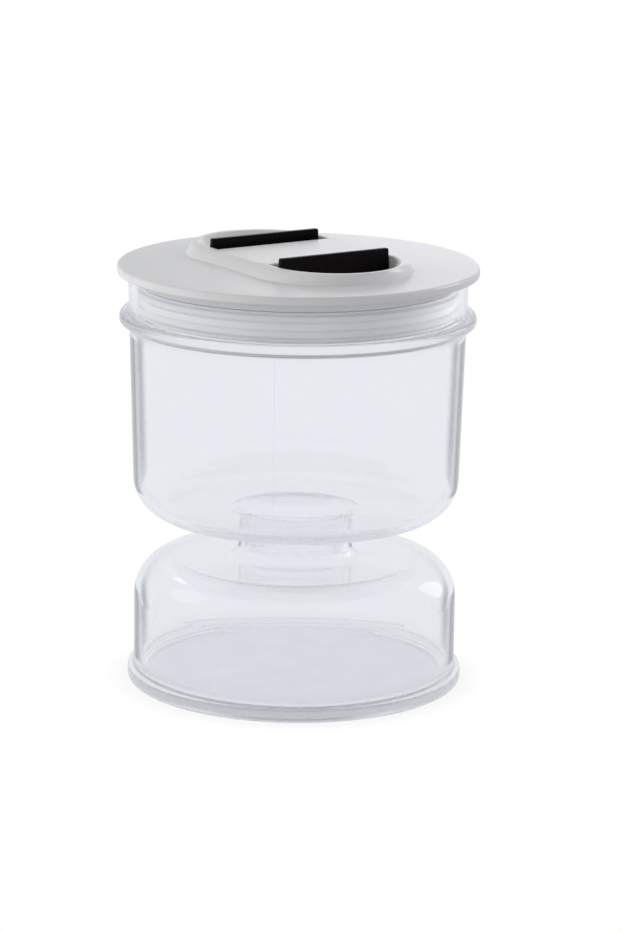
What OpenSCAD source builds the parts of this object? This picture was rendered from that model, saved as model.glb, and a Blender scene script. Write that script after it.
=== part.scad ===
// Hourglass pickle jar: a clear jar of two chambers with a strainer in its neck, closed by a
// push-in lid whose two pinch tabs relax the gasket. Sizes are millimetres, the jar stands on
// z = 0, and the grip of the lid runs along X.

/* [Jar] */
// Outside diameter of the lower chamber
lower_d = 108.4; // [98:0.2:122]
// Height of the lower chamber up to the flat of its shoulder
lower_h = 42.5; // [36:0.5:60]
// Outside radius of the lower chamber's shoulder
shoulder_round = 13.7; // [8:0.1:16]
// How far the foot ring stands out beyond the lower chamber
foot_lip = 2.1; // [1:0.1:4]
// Height of the foot ring
foot_h = 4.4; // [3.4:0.1:8]
// Depth of the hollow under the base
base_recess = 0.8; // [0.4:0.1:1.4]
// Width of the ring that the jar stands on
stand_w = 2.2; // [1.6:0.1:4]
// Thickness of the base above that hollow
base_t = 2.2; // [1.6:0.1:4]
// Outside diameter of the neck between the chambers
neck_d = 38; // [32:0.5:50]
// Free height of the waist between the chambers
neck_gap = 13.5; // [10:0.5:24]
// Outside radius where the neck runs into each chamber
neck_round = 4; // [2:0.1:4.6]
// Outside diameter of the upper chamber at its floor
upper_d = 108.4; // [98:0.2:112]
// Outside radius at the bottom edge of the upper chamber
upper_round = 12.8; // [8:0.1:16]
// How far the floor of the upper chamber falls towards the neck
floor_fall = 1.1; // [0:0.1:3]
// Outside diameter of the mouth
mouth_d = 112.8; // [109:0.2:124]
// Height of the jar to its rim
jar_h = 138.8; // [118:0.2:180]
// Wall thickness of the jar
wall = 2.2; // [1.6:0.1:3]
// How far the bead below the mouth stands out
bead_lip = 3.3; // [1.5:0.1:5]
// Height of the bead
bead_h = 3.7; // [2.6:0.1:6]
// Depth of the bead's top below the rim
bead_drop = 13.1; // [8:0.1:20]

/* [Strainer] */
// Wall thickness of the strainer
strainer_t = 1.2; // [0.8:0.1:2]
// Gap between the strainer and the neck
strainer_gap = 0.3; // [0.2:0.05:0.6]
// Depth of the cage below the strainer's flared lip
cage_depth = 9; // [7:0.5:12]
// How much the cage narrows on each side towards its bottom
cage_taper = 1.6; // [0:0.1:3]
// Number of upright slots round the cage
cage_slots = 16; // [8:2:22]
// Width of each slot
slot_w = 2.2; // [1:0.1:2.8]

/* [Lid] */
// How far the flange reaches beyond the mouth
lid_overhang = 3.6; // [2:0.1:8]
// Thickness of the flange at its edge
lid_t = 2.8; // [2:0.1:4]
// Rise of the lid's top from its edge to the grip
lid_crown = 1.15; // [0.2:0.05:2.4]
// Depth of the plug below the flange, cover included
plug_depth = 15.8; // [14.6:0.1:22]
// Wall thickness of the plug's skirt
skirt_t = 2; // [1.2:0.1:3]
// Thickness of the cover under the plug
cover_t = 2.2; // [1.5:0.1:3]
// Thickness of the gasket from the skirt to the tips of its lips
gasket_t = 3; // [2.2:0.1:4]
// Gap between the tips of the gasket's lips and the mouth
seal_gap = 0.35; // [0.2:0.05:0.8]
// Gap between lid pieces that snap or nest together
fit_gap = 0.12; // [0.05:0.01:0.25]

/* [Grip] */
// Length of the raised grip
grip_l = 89; // [80:0.5:92]
// Width of the raised grip
grip_w = 46.4; // [38:0.2:50]
// Height of the grip above the lid's edge
grip_h = 4.2; // [3.2:0.1:8]
// How far the long sides of the grip spread at their foot
grip_spread = 5.4; // [1:0.1:7]
// How far the round ends of the grip spread at their foot
end_spread = 1; // [0.4:0.1:2]
// Thickness of the grip's rim and of the bar's walls
rim_t = 1.5; // [1.2:0.1:2.6]
// Width of the bar across the grip
bar_w = 31; // [26:0.5:34]
// Thickness of the floors of the finger wells
well_floor_t = 1.4; // [1:0.1:2]

/* [Pinch tabs] */
// Thickness of each tab
tab_t = 2; // [1.5:0.1:3]
// Gap between the bar and each tab
tab_gap = 4.7; // [4.4:0.1:7]
// How far each tab is squeezed towards the bar
squeeze = 3.5; // [2:0.1:3.8]
// Height of each tab above the grip's rim
tab_rise = 2.6; // [1:0.1:6]
// Thickness of the slider under each tab
slider_t = 3; // [2:0.1:3.6]
// Width of the shoe that backs up the gasket
shoe_w = 27; // [18:0.5:32]
// Gap round the tabs, sliders and shoes
slide_gap = 0.35; // [0.2:0.05:0.5]

/* [Springs] */
// Outside diameter of each spring
spring_d = 5; // [4:0.1:5.6]
// Thickness of the spring wire
spring_wire = 0.6; // [0.4:0.05:0.7]
// Number of turns in each spring
spring_turns = 5; // [4:1:6]
// Length of each spring at rest
spring_l = 8; // [7:0.1:9]
// Distance between the two springs behind each tab
spring_pitch = 20; // [14:0.5:24]

/* [Hidden] */
$fn = 96;
hull_fn = 32;
arc_steps = 8;
wire_sides = 6;
rings_per_turn = 8;
cut = 1;

// Colours as the photograph shows them
clear_plastic = [0.87, 0.88, 0.92, 0.4];
strainer_plastic = [0.93, 0.94, 0.97, 0.6];
lid_white = [0.86, 0.86, 0.86];
gasket_white = [0.92, 0.92, 0.93];
tab_black = [0.04, 0.035, 0.035];
spring_steel = [0.7, 0.7, 0.72];

// Jar levels and radii
lower_r = lower_d / 2;
foot_r = lower_r + foot_lip;
neck_r = neck_d / 2;
upper_r = upper_d / 2;
mouth_r = mouth_d / 2;
waist_z = lower_h + neck_gap;
corner_z = waist_z + floor_fall;
base_in_z = base_recess + base_t;
foot_round = 1.5;
recess_r = foot_r - foot_round - stand_w - 2 * base_recess;
base_round = 4;
edge_round = 0.9;
root_round = 0.5;
rim_round = min(edge_round, 0.45 * wall);
bead_top = jar_h - bead_drop;
bead_low = bead_top - bead_h;

// Outside radius of the upper chamber's drafted wall at a height
function wall_r(z) = upper_r + (mouth_r - upper_r) * (z - corner_z) / (jar_h - corner_z);

// The inside of the neck and the round that leads into it from the floor above
neck_in_r = neck_r - wall;
neck_in_round = neck_round + wall;
floor_slope = atan(floor_fall / (upper_r - neck_r));
flare_r = neck_in_r + neck_in_round;
flare_z = waist_z + wall + neck_in_round * (tan(floor_slope) - 1 / cos(floor_slope));

// Strainer
lip_angle = 115;
cage_r = neck_in_r - strainer_gap;
cage_low_r = cage_r - cage_taper;
cage_low_z = flare_z - cage_depth;
slot_margin = 1.2;
floor_slot_in = 3;

// Lid levels
seat_z = jar_h;
edge_z = seat_z + lid_t;
deck_z = edge_z + lid_crown;
grip_z = edge_z + grip_h;
well_z = seat_z + well_floor_t;
tab_z = grip_z + tab_rise;
cover_z = seat_z - plug_depth;
cover_top = cover_z + cover_t;
slider_top = seat_z - slide_gap;
slider_low = slider_top - slider_t;

// Lid radii, worked inwards from the mouth
lid_r = mouth_r + lid_overhang;
lip_r = wall_r(cover_top) - wall - seal_gap;
skirt_r = lip_r - gasket_t;
skirt_in_r = skirt_r - skirt_t;
shoulder_r = skirt_r + 0.6 * gasket_t;
spigot_t = 1.8;
spigot_h = 2.6;
spigot_r = skirt_in_r - fit_gap;
snap_d = 1;
snap_z = cover_top + spigot_h / 2;

// Grip
foot_l = grip_l + 2 * end_spread;
foot_w = grip_w + 2 * grip_spread;
rim_bevel = 0.5;
swell = 0.9;
swell_steps = 4;
slice_t = 0.02;
well_l = grip_l - 2 * rim_t;
well_w = grip_w - 2 * rim_t;

// Pinch tabs, sliders and shoes
tab_in = bar_w / 2 + tab_gap;
tab_out = tab_in + tab_t;
tab_half = well_w / 2 - slide_gap;
tab_slant = 0.5;
tab_round = 0.5;
slot_in = tab_in - squeeze - slide_gap;
slider_half = tab_half + 2;
slider_r = skirt_in_r - slide_gap;
spine_half = 4;
slider_in = spine_half + spring_l;
end_wall_t = 2.2;
shoe_t = 2.2;
shoe_r = skirt_r - slide_gap;
shoe_in_r = slider_r - shoe_t;
shoe_low = cover_top + spigot_h + slide_gap;
guide_t = 1.6;

// Springs and the spine that they push against
spring_z = (cover_top + slider_low) / 2;
spring_r = spring_d / 2 - spring_wire / 2;
spring_end_gap = 0.1;
spine_y = spring_pitch / 2 + spring_d / 2 + 1;
spine_top = spring_z + spring_d / 2 + 0.6;
spine_wall = 1.6;
post_r = spring_d / 2 - spring_wire - 0.3;
post_l = 2.4;
rail_t = 2;
rail_in = slider_in + end_wall_t + slide_gap;
rail_y = spring_pitch / 2;
rail_out = sqrt(pow(shoe_in_r, 2) - pow(rail_y + rail_t, 2)) - squeeze - slide_gap;

function unit(v) = v / norm(v);

// Points of a round of the given radius at corner b, on the way from a to c
function corner_points(a, b, c, radius) =
    radius <= 0 ? [b] :
    let (
        u = unit(a - b),
        w = unit(c - b),
        half = acos(u * w) / 2,
        centre = b + unit(u + w) * radius / sin(half),
        start = b + u * radius / tan(half) - centre,
        from = atan2(start.y, start.x),
        turn = (u.x * w.y - u.y * w.x > 0 ? -1 : 1) * (180 - 2 * half)
    )
    [for (i = [0:arc_steps]) centre + radius * [cos(from + turn * i / arc_steps), sin(from + turn * i / arc_steps)]];

// Closed outline through corners given as [x, y, radius]
function rounded(corners) =
    let (
        count = len(corners),
        points = [for (c = corners) [c[0], c[1]]]
    )
    [for (i = [0:count - 1])
        each corner_points(points[(i + count - 1) % count], points[i], points[(i + 1) % count], corners[i][2])];

// Points of an arc about a centre, from one angle to another
function arc(centre, radius, from, to) =
    [for (i = [0:arc_steps])
        let (a = from + (to - from) * i / arc_steps)
        centre + radius * [cos(a), sin(a)]];

// Outline with two straight sides and two round ends
module obround(length, width) {
    square([length - width, width], center = true);
    for (side = [-1, 1])
        translate([side * (length - width) / 2, 0])
            circle(d = width);
}

// Thin slice of an obround, for a hull
module obround_slice(length, width, height) {
    linear_extrude(height)
        obround(length, width, $fn = hull_fn);
}

// Box from one corner to the other
module block(low, high) {
    translate(low)
        cube(high - low);
}

module jar_body() {
    outside = [
        [0, base_recess, 0],
        [recess_r, base_recess, edge_round],
        [recess_r + 2 * base_recess, 0, edge_round],
        [foot_r, 0, foot_round],
        [foot_r, foot_h, edge_round],
        [lower_r, foot_h + 0.3 * foot_lip, root_round],
        [lower_r, lower_h, shoulder_round],
        [neck_r, lower_h, neck_round],
        [neck_r, waist_z, neck_round],
        [upper_r, corner_z, upper_round],
        [wall_r(bead_low), bead_low, root_round],
        [wall_r(bead_low) + bead_lip, bead_low, edge_round],
        [wall_r(bead_low) + bead_lip, bead_top, edge_round],
        [wall_r(bead_top), bead_top, root_round],
        [mouth_r, jar_h, rim_round]
    ];
    inside = [
        [mouth_r - wall, jar_h, rim_round],
        [upper_r - wall, corner_z + wall, upper_round - wall],
        [neck_in_r, waist_z + wall, neck_in_round],
        [neck_in_r, lower_h - wall, neck_in_round],
        [lower_r - wall, lower_h - wall, shoulder_round - wall],
        [lower_r - wall, base_in_z, base_round],
        [0, base_in_z, 0]
    ];
    color(clear_plastic)
        rotate_extrude()
            polygon(rounded(concat(outside, inside)));
}

module strainer() {
    flare = [flare_r, flare_z];
    near_round = neck_in_round + strainer_gap;
    far_round = near_round + strainer_t;
    section = concat(
        arc(flare, near_round, lip_angle, 180),
        [
            [cage_low_r, cage_low_z],
            [0, cage_low_z],
            [0, cage_low_z + strainer_t],
            [cage_low_r - strainer_t, cage_low_z + strainer_t]
        ],
        arc(flare, far_round, 180, lip_angle)
    );
    wall_slot_low = cage_low_z + strainer_t + slot_margin;
    color(strainer_plastic)
        difference() {
            rotate_extrude()
                polygon(section);
            for (i = [0:cage_slots - 1])
                rotate(i * 360 / cage_slots)
                    block([cage_low_r - 2 * strainer_t, -slot_w / 2, wall_slot_low],
                          [neck_r, slot_w / 2, flare_z]);
            for (i = [0:2:cage_slots - 1])
                rotate(i * 360 / cage_slots)
                    block([floor_slot_in, -slot_w / 2, cage_low_z - cut],
                          [cage_low_r - strainer_t - slot_margin, slot_w / 2, cage_low_z + strainer_t + cut]);
        }
}

// Share of the grip's height lost at a share of the way out from its rim to its foot
function fallen(share) = (1 - swell) * share + swell * share * share;

// The grip's solid outline, before its wells are cut
module grip_form() {
    wall_top = grip_z - rim_bevel / 2;
    hull() {
        translate([0, 0, edge_z - cut])
            obround_slice(foot_l, foot_w, lid_crown + cut);
        for (i = [0:swell_steps - 1]) {
            share = i / swell_steps;
            translate([0, 0, wall_top - (wall_top - deck_z) * fallen(share) - slice_t])
                obround_slice(grip_l + 2 * end_spread * share, grip_w + 2 * grip_spread * share, slice_t);
        }
        translate([0, 0, grip_z - slice_t])
            obround_slice(grip_l - 2 * rim_bevel, grip_w - 2 * rim_bevel, slice_t);
    }
}

// Two finger wells, one on each side of the bar
module finger_wells() {
    translate([0, 0, well_z])
        linear_extrude(grip_z - well_z + cut)
            difference() {
                obround(well_l, well_w);
                square([bar_w, well_w + 2 * cut], center = true);
            }
}

// Ribs under the deck that keep one slider straight
module slider_guides() {
    intersection() {
        translate([0, 0, slider_low])
            cylinder(r = skirt_in_r + skirt_t / 2, h = seat_z - slider_low + cut);
        for (side = [-1, 1])
            translate([0, side * (slider_half + slide_gap + guide_t / 2), 0])
                block([slider_in, -guide_t / 2, slider_low], [skirt_r, guide_t / 2, seat_z + cut]);
    }
}

module lid_top() {
    shell = [
        [0, seat_z, 0],
        [skirt_in_r, seat_z, 0],
        [skirt_in_r, cover_top, 0],
        [skirt_r, cover_top, 0],
        [skirt_r, slider_low, 0],
        [shoulder_r, slider_low, root_round],
        [shoulder_r, seat_z, 0],
        [lid_r, seat_z, root_round],
        [lid_r, edge_z, edge_round],
        [foot_w / 2, deck_z, 0],
        [0, deck_z, 0]
    ];
    color(lid_white)
        difference() {
            union() {
                rotate_extrude()
                    polygon(rounded(shell));
                grip_form();
                for (turn = [0, 180])
                    rotate(turn)
                        slider_guides();
            }
            finger_wells();
            // Hollow under the bar
            block([-bar_w / 2 + rim_t, -well_w / 2, seat_z - cut], [bar_w / 2 - rim_t, well_w / 2, grip_z - rim_t]);
            for (turn = [0, 180])
                rotate(turn) {
                    // Slot that the tab travels in
                    block([slot_in, -tab_half - slide_gap, seat_z - cut],
                          [tab_out + slide_gap, tab_half + slide_gap, well_z + cut]);
                    // Window in the skirt for the shoe
                    block([skirt_in_r * 0.8, -shoe_w / 2 - slide_gap, shoe_low - slide_gap],
                          [skirt_r + cut, shoe_w / 2 + slide_gap, slider_low]);
                }
            // Groove that the cover snaps into
            rotate_extrude()
                translate([spigot_r, snap_z])
                    circle(d = snap_d + 2 * fit_gap);
        }
}

module lid_base() {
    plate_r = shoulder_r;
    plate = [
        [0, cover_z, 0],
        [plate_r, cover_z, edge_round],
        [plate_r, cover_top - fit_gap, root_round],
        [spigot_r, cover_top - fit_gap, 0],
        [spigot_r, cover_top + spigot_h, root_round],
        [spigot_r - spigot_t, cover_top + spigot_h, root_round],
        [spigot_r - spigot_t, cover_top - fit_gap, 0],
        [0, cover_top - fit_gap, 0]
    ];
    plate_top = cover_top - fit_gap;
    color(lid_white) {
        rotate_extrude()
            polygon(rounded(plate));
        rotate_extrude()
            translate([spigot_r, snap_z])
                circle(d = snap_d);
        // Spine between the two sliders, hollow from above
        difference() {
            block([-spine_half, -spine_y, plate_top - cut / 2], [spine_half, spine_y, spine_top]);
            block([-spine_half + spine_wall, -spine_y + spine_wall, plate_top],
                  [spine_half - spine_wall, spine_y - spine_wall, spine_top + cut]);
        }
        for (turn = [0, 180])
            rotate(turn)
                for (side = [-1, 1]) {
                    // Post that holds the inner end of a spring
                    translate([spine_half - spine_wall / 2, side * spring_pitch / 2, spring_z])
                        rotate([0, 90, 0])
                            cylinder(r = post_r, h = spine_wall / 2 + post_l, $fn = 32);
                    // Rail that carries the slider
                    translate([0, side * rail_y, 0])
                        block([rail_in, -rail_t / 2, plate_top - cut / 2],
                              [rail_out, rail_t / 2, slider_low - slide_gap]);
                }
    }
}

module gasket() {
    in_r = skirt_r + fit_gap;
    low = cover_top + fit_gap;
    high = slider_low - fit_gap;
    body_r = shoulder_r;
    lip_h = 1.6;
    lip_root = 2.6;
    lip_count = 2;
    pitch = (high - low) / lip_count;
    lips = [for (i = [0:lip_count - 1])
        let (z = low + (i + 0.5) * pitch)
        each [
            [body_r, z - lip_root / 2, root_round],
            [lip_r, z - lip_h / 2 + root_round, root_round],
            [lip_r, z + lip_h / 2 + root_round, root_round],
            [body_r, z + lip_root / 2 + root_round, root_round]
        ]];
    color(gasket_white)
        rotate_extrude()
            polygon(rounded(concat(
                [[in_r, low, 0], [body_r, low, root_round]],
                lips,
                [[body_r, high, root_round], [in_r, high, 0]]
            )));
}

// Ring sector across +X, for the shoe
module shoe_sector(inner, outer, low, high) {
    intersection() {
        translate([0, 0, low])
            difference() {
                cylinder(r = outer, h = high - low);
                translate([0, 0, -cut])
                    cylinder(r = inner, h = high - low + 2 * cut);
            }
        block([0, -shoe_w / 2, low - cut], [outer + cut, shoe_w / 2, high + cut]);
    }
}

// Tab, slider and shoe in one moulding, on the +X side
module pinch_tab() {
    upright = [
        [-tab_half, slider_low + slider_t / 2, 0],
        [tab_half, slider_low + slider_t / 2, 0],
        [tab_half, well_z, 0],
        [tab_half - tab_slant, tab_z, tab_round],
        [-tab_half + tab_slant, tab_z, tab_round],
        [-tab_half, well_z, 0]
    ];
    end_wall_low = spring_z - spring_d / 2 - 0.6;
    color(tab_black) {
        translate([tab_in, 0, 0])
            rotate([90, 0, 90])
                linear_extrude(tab_t)
                    polygon(rounded(upright));
        intersection() {
            block([slider_in, -slider_half, slider_low], [slider_r, slider_half, slider_top]);
            translate([0, 0, slider_low - cut])
                cylinder(r = slider_r, h = slider_t + 2 * cut);
        }
        block([slider_in, -spine_y, end_wall_low], [slider_in + end_wall_t, spine_y, slider_low + slider_t / 2]);
        shoe_sector(shoe_in_r, slider_r, shoe_low, slider_low + slider_t / 2);
        shoe_sector(shoe_in_r, shoe_r, shoe_low, slider_low - slide_gap);
    }
}

module pinch_tab_near() {
    pinch_tab();
}

module pinch_tab_far() {
    rotate(180)
        pinch_tab();
}

// Centre line of a spring, wound about X
coil_start = spine_half + spring_end_gap + spring_wire / 2;
coil_end = slider_in - spring_end_gap - spring_wire / 2;
coil_rings = spring_turns * rings_per_turn;
function coil_centre(i) =
    let (a = 360 * i / rings_per_turn)
    [coil_start + (coil_end - coil_start) * i / coil_rings, spring_r * cos(a), spring_r * sin(a)];
// One ring of points round the wire
function coil_ring(i) =
    let (a = 360 * i / rings_per_turn, out = [0, cos(a), sin(a)])
    [for (k = [0:wire_sides - 1])
        let (b = 360 * k / wire_sides)
        coil_centre(i) + spring_wire / 2 * (cos(b) * out + sin(b) * [1, 0, 0])];
coil_gap = min([for (i = [0:coil_rings - rings_per_turn])
    norm(coil_centre(i + rings_per_turn) - coil_centre(i))]) - spring_wire;
echo(least_gap_between_spring_turns = coil_gap);

module coil() {
    points = [for (i = [0:coil_rings]) each coil_ring(i)];
    sides = [for (i = [0:coil_rings - 1], k = [0:wire_sides - 1])
        let (
            a = i * wire_sides + k,
            b = i * wire_sides + (k + 1) % wire_sides,
            c = a + wire_sides,
            d = b + wire_sides
        )
        each [[a, c, b], [b, c, d]]];
    last = coil_rings * wire_sides;
    start_cap = [for (k = [1:wire_sides - 2]) [0, k, k + 1]];
    end_cap = [for (k = [1:wire_sides - 2]) [last, last + k + 1, last + k]];
    polyhedron(points, concat(sides, start_cap, end_cap));
}

module spring(side) {
    color(spring_steel)
        translate([0, side * spring_pitch / 2, spring_z])
            coil();
}

module spring_near_left() {
    spring(-1);
}

module spring_near_right() {
    spring(1);
}

module spring_far_left() {
    rotate(180)
        spring(1);
}

module spring_far_right() {
    rotate(180)
        spring(-1);
}

jar_body();
strainer();
lid_top();
lid_base();
gasket();
pinch_tab_near();
pinch_tab_far();
spring_near_left();
spring_near_right();
spring_far_left();
spring_far_right();
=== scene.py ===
import math

import bmesh
import bpy
from mathutils import Matrix, Vector


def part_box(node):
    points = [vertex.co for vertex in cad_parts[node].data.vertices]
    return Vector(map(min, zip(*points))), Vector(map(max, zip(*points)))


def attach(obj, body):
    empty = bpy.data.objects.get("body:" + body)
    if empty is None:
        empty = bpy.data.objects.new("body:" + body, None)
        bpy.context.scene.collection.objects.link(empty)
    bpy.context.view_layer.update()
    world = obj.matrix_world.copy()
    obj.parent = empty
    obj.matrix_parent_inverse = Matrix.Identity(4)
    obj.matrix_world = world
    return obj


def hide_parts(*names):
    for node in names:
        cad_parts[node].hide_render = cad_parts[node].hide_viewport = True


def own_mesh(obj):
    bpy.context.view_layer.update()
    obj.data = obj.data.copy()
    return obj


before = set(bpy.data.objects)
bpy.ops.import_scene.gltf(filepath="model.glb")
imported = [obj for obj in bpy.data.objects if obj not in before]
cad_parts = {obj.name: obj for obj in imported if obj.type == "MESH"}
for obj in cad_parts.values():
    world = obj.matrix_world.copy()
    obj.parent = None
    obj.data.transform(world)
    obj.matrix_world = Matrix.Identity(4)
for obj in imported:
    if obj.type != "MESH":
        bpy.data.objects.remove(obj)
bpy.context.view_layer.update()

# Sizes below are millimetres. Meshes are worked in millimetres and become metres as they are finished.
MM = 0.001
# Points closer than this are the same place
NEAR = 0.001
# How far a cutter reaches past what it cuts, and how far a piece sinks into what carries it
CUT_PAST = 1
SUNK = 0.5

# Steps around each kind of round shape
SPIN_STEPS = 240
JAR_STEPS = 480
STRAINER_STEPS = 192
LOFT_STEPS = 288
POST_STEPS = 32
SLIDER_STEPS = 32
SHOE_STEPS = 24
COIL_STEPS = 24
WIRE_STEPS = 12

# Values between which most of a noise texture lies
NOISE_LOW = 0.3
NOISE_HIGH = 0.7


def node_box(node):
    """Lowest and highest corner of a CAD node, in millimetres."""
    low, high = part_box(node)
    return low / MM, high / MM


jar_high = node_box("jar_body")[1]
strainer_low = node_box("strainer")[0]
lid_low, lid_high = node_box("lid_top")
base_low = node_box("lid_base")[0]
gasket_low, gasket_high = node_box("gasket")
tab_low, tab_high = node_box("pinch_tab_near")
spring_low, spring_high = node_box("spring_near_right")

# Jar
wall = 2.2
lower_r = 54.2
lower_h = 42.5
shoulder_round = 13.7
foot_r = 56.3
foot_h = 4.4
foot_round = 1.5
foot_slope = 0.63
foot_root = 1.2
base_recess = 0.8
base_in_z = 3
base_round = 4
recess_r = 51
neck_r = 19
neck_round = 4
waist_z = 56
upper_r = 54.2
upper_round = 12.8
floor_fall = 1.1
mouth_r = 56.4
bead_lip = 3.3
bead_h = 3.7
bead_drop = 13.1
bead_round = 1.5
edge_round = 0.9
root_round = 0.5
jar_h = jar_high.z
corner_z = waist_z + floor_fall
bead_top = jar_h - bead_drop
bead_z = bead_top - bead_h

# Mould parting line of the jar: its direction, the size of its ridge,
# and how far outwards a wall faces, at the least, to have it
mould_turn = math.radians(-40.3)
mould_half_width = 0.2
mould_ridge = 0.05
mould_least_outward = 0.3

# Strainer
strainer_t = 1.2
strainer_gap = 0.3
cage_taper = 1.6
cage_slots = 16
slot_w = 2.2
slot_margin = 1.2
floor_slot_in = 3
cage_round = 0.6
cage_in_round = 0.5
lip_rise = math.radians(25)
lip_edge = 0.4
neck_in_r = neck_r - wall
neck_in_round = neck_round + wall
cage_r = neck_in_r - strainer_gap
cage_low_r = cage_r - cage_taper
cage_low_z = strainer_low.z

# Lid
lid_t = 2.8
lid_crown = 1.15
skirt_t = 2
fit_gap = 0.12
lid_r = lid_high.x
seat_z = jar_h
edge_z = seat_z + lid_t
grip_z = lid_high.z
cover_z = base_low.z
cover_top = lid_low.z
gasket_r = gasket_high.x
gasket_t = 3
gasket_body_share = 0.6
skirt_r = gasket_r - gasket_t
skirt_in_r = skirt_r - skirt_t
shoulder_r = skirt_r + gasket_body_share * gasket_t
gasket_lip_h = 1.6
gasket_lip_foot = 2.6
gasket_lip_fillet = 0.4
window_in_r = 0.8 * skirt_in_r
spigot_t = 1.8
spigot_h = 2.6
spigot_r = skirt_in_r - fit_gap
spigot_root = 0.6
snap_r = 0.5
snap_round = 0.3

# Grip
grip_l = 89
grip_w = 46.4
grip_spread = 5.4
end_spread = 1
rim_t = 1.5
bar_w = 31
bar_in = bar_w / 2 - rim_t
well_floor_t = 1.4
foot_l = grip_l + 2 * end_spread
foot_w = grip_w + 2 * grip_spread
well_w = grip_w - 2 * rim_t
well_z = seat_z + well_floor_t
rim_edge = 0.5
well_fillet = 0.8
scoop = 5.5
scoop_run = 12
swell = 0.9

# Pinch tabs, sliders and shoes
tab_t = 2
tab_gap = 4.7
squeeze = 3.5
slide_gap = 0.35
slider_t = 3
slider_top = seat_z - slide_gap
slider_z = slider_top - slider_t
tab_in = bar_w / 2 + tab_gap
tab_out = tab_in + tab_t
tab_half = well_w / 2 - slide_gap
tab_slant = 0.5
tab_round = 0.5
tab_edge = 0.4
tab_z = tab_high.z
slot_in = tab_in - squeeze - slide_gap
slider_margin = 2
slider_half = tab_half + slider_margin
slider_in = tab_low.x
slider_r = skirt_in_r - slide_gap
shoe_w = 27
shoe_t = 2.2
shoe_r = skirt_r - slide_gap
shoe_in_r = slider_r - shoe_t
shoe_z = cover_top + spigot_h + slide_gap
end_wall_t = 2.2
small_edge = 0.3

# Springs and the spine that they push against
spring_start = spring_low.x
spring_end = spring_high.x
spring_y = (spring_low.y + spring_high.y) / 2
spring_z = (spring_low.z + spring_high.z) / 2
spring_d = spring_high.z - spring_low.z
spring_wire = 0.6
spring_turns = 5
spring_room = 0.6
spine_half = 4
spine_wall = 1.6
spine_margin = 1
spine_y = spring_y + spring_d / 2 + spine_margin
spine_z = spring_z + spring_d / 2 + spring_room
post_r = 1.6
post_l = 2.4
rail_t = 2
rail_in = slider_in + end_wall_t + slide_gap
rail_out = 40.5


def wall_r(z):
    """Outside radius of the upper chamber's drafted wall at a height."""
    return upper_r + (mouth_r - upper_r) * (z - corner_z) / (jar_h - corner_z)


def tidy_shell(bm):
    """Closes seams and poles, and turns every face outwards."""
    bmesh.ops.remove_doubles(bm, verts=bm.verts[:], dist=NEAR)
    bmesh.ops.recalc_face_normals(bm, faces=bm.faces[:])


def everything(bm):
    """All corners, edges and faces of a shape."""
    return bm.verts[:] + bm.edges[:] + bm.faces[:]


def ring_edges(bm, radius, height):
    """Edges of the ring at a radius and height about Z."""
    def on_ring(vert):
        away = math.hypot(vert.co.x, vert.co.y)
        return abs(away - radius) < NEAR and abs(vert.co.z - height) < NEAR
    return [edge for edge in bm.edges if on_ring(edge.verts[0]) and on_ring(edge.verts[1])]


def sharp_edges(bm, degrees):
    """Edges where two faces meet at more than an angle."""
    least = math.radians(degrees)
    return [edge for edge in bm.edges if edge.is_manifold and edge.calc_face_angle() > least]


def level_edges(bm, height):
    """Sharp edges that lie at a height."""
    def is_level(edge):
        return all(abs(vert.co.z - height) < NEAR for vert in edge.verts)
    return [edge for edge in sharp_edges(bm, 30) if is_level(edge)]


def bevel(bm, edges, offset, segments):
    """Rounds edges."""
    bmesh.ops.bevel(
        bm, geom=edges, affect="EDGES", offset=offset, segments=segments, profile=0.5, material=-1)


def turn_about(bm, turn):
    """Turns a shape about Z."""
    bmesh.ops.rotate(bm, verts=bm.verts[:], matrix=Matrix.Rotation(turn, 3, "Z"))


def push(bm, face, along):
    """Pushes a face out along a direction, and gives the corners that moved."""
    grown = bmesh.ops.extrude_face_region(bm, geom=[face])["geom"]
    moved = [item for item in grown if isinstance(item, bmesh.types.BMVert)]
    bmesh.ops.translate(bm, verts=moved, vec=along)
    return moved


def sink(bm, face, rim, depth):
    """Sinks a pocket into a level face inside a rim, and gives the corners of the pocket's floor."""
    bmesh.ops.inset_individual(bm, faces=[face], thickness=rim, use_even_offset=True)
    floor = push(bm, face, (0, 0, -depth))
    if face.is_valid:
        bmesh.ops.delete(bm, geom=[face], context="FACES_ONLY")
    return floor


def round_steps(radius):
    """Number of faces across a round."""
    return 3 + round(radius)


def turned(corners, steps=SPIN_STEPS):
    """A shell of revolution about Z through corners of (radius, height, round)."""
    bm = bmesh.new()
    verts = [bm.verts.new((radius, 0, height)) for radius, height, rounding in corners]
    pairs = list(zip(verts, verts[1:]))
    if corners[0][0] > 0 or corners[-1][0] > 0:
        pairs.append((verts[-1], verts[0]))
    edges = [bm.edges.new(pair) for pair in pairs]
    bmesh.ops.spin(bm, geom=verts + edges, axis=(0, 0, 1), angle=math.tau, steps=steps, use_merge=True)
    tidy_shell(bm)
    count = len(corners)
    for i, (radius, height, rounding) in enumerate(corners):
        if rounding:
            here = Vector((radius, height))
            before = Vector(corners[i - 1][:2]) - here
            after = Vector(corners[(i + 1) % count][:2]) - here
            offset = rounding / math.tan(before.angle(after) / 2)
            bevel(bm, ring_edges(bm, radius, height), offset, round_steps(rounding))
    return bm


def block(bm, low, high, edge=0.0):
    """A box between two corners, with its edges rounded unless the round is 0."""
    middle = [(a + b) / 2 for a, b in zip(low, high)]
    size = [b - a for a, b in zip(low, high)]
    place = Matrix.LocRotScale(middle, None, size)
    verts = bmesh.ops.create_cube(bm, size=1, matrix=place)["verts"]
    if edge:
        edges = dict.fromkeys(side for vert in verts for side in vert.link_edges)
        bevel(bm, list(edges), edge, 2)


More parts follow.
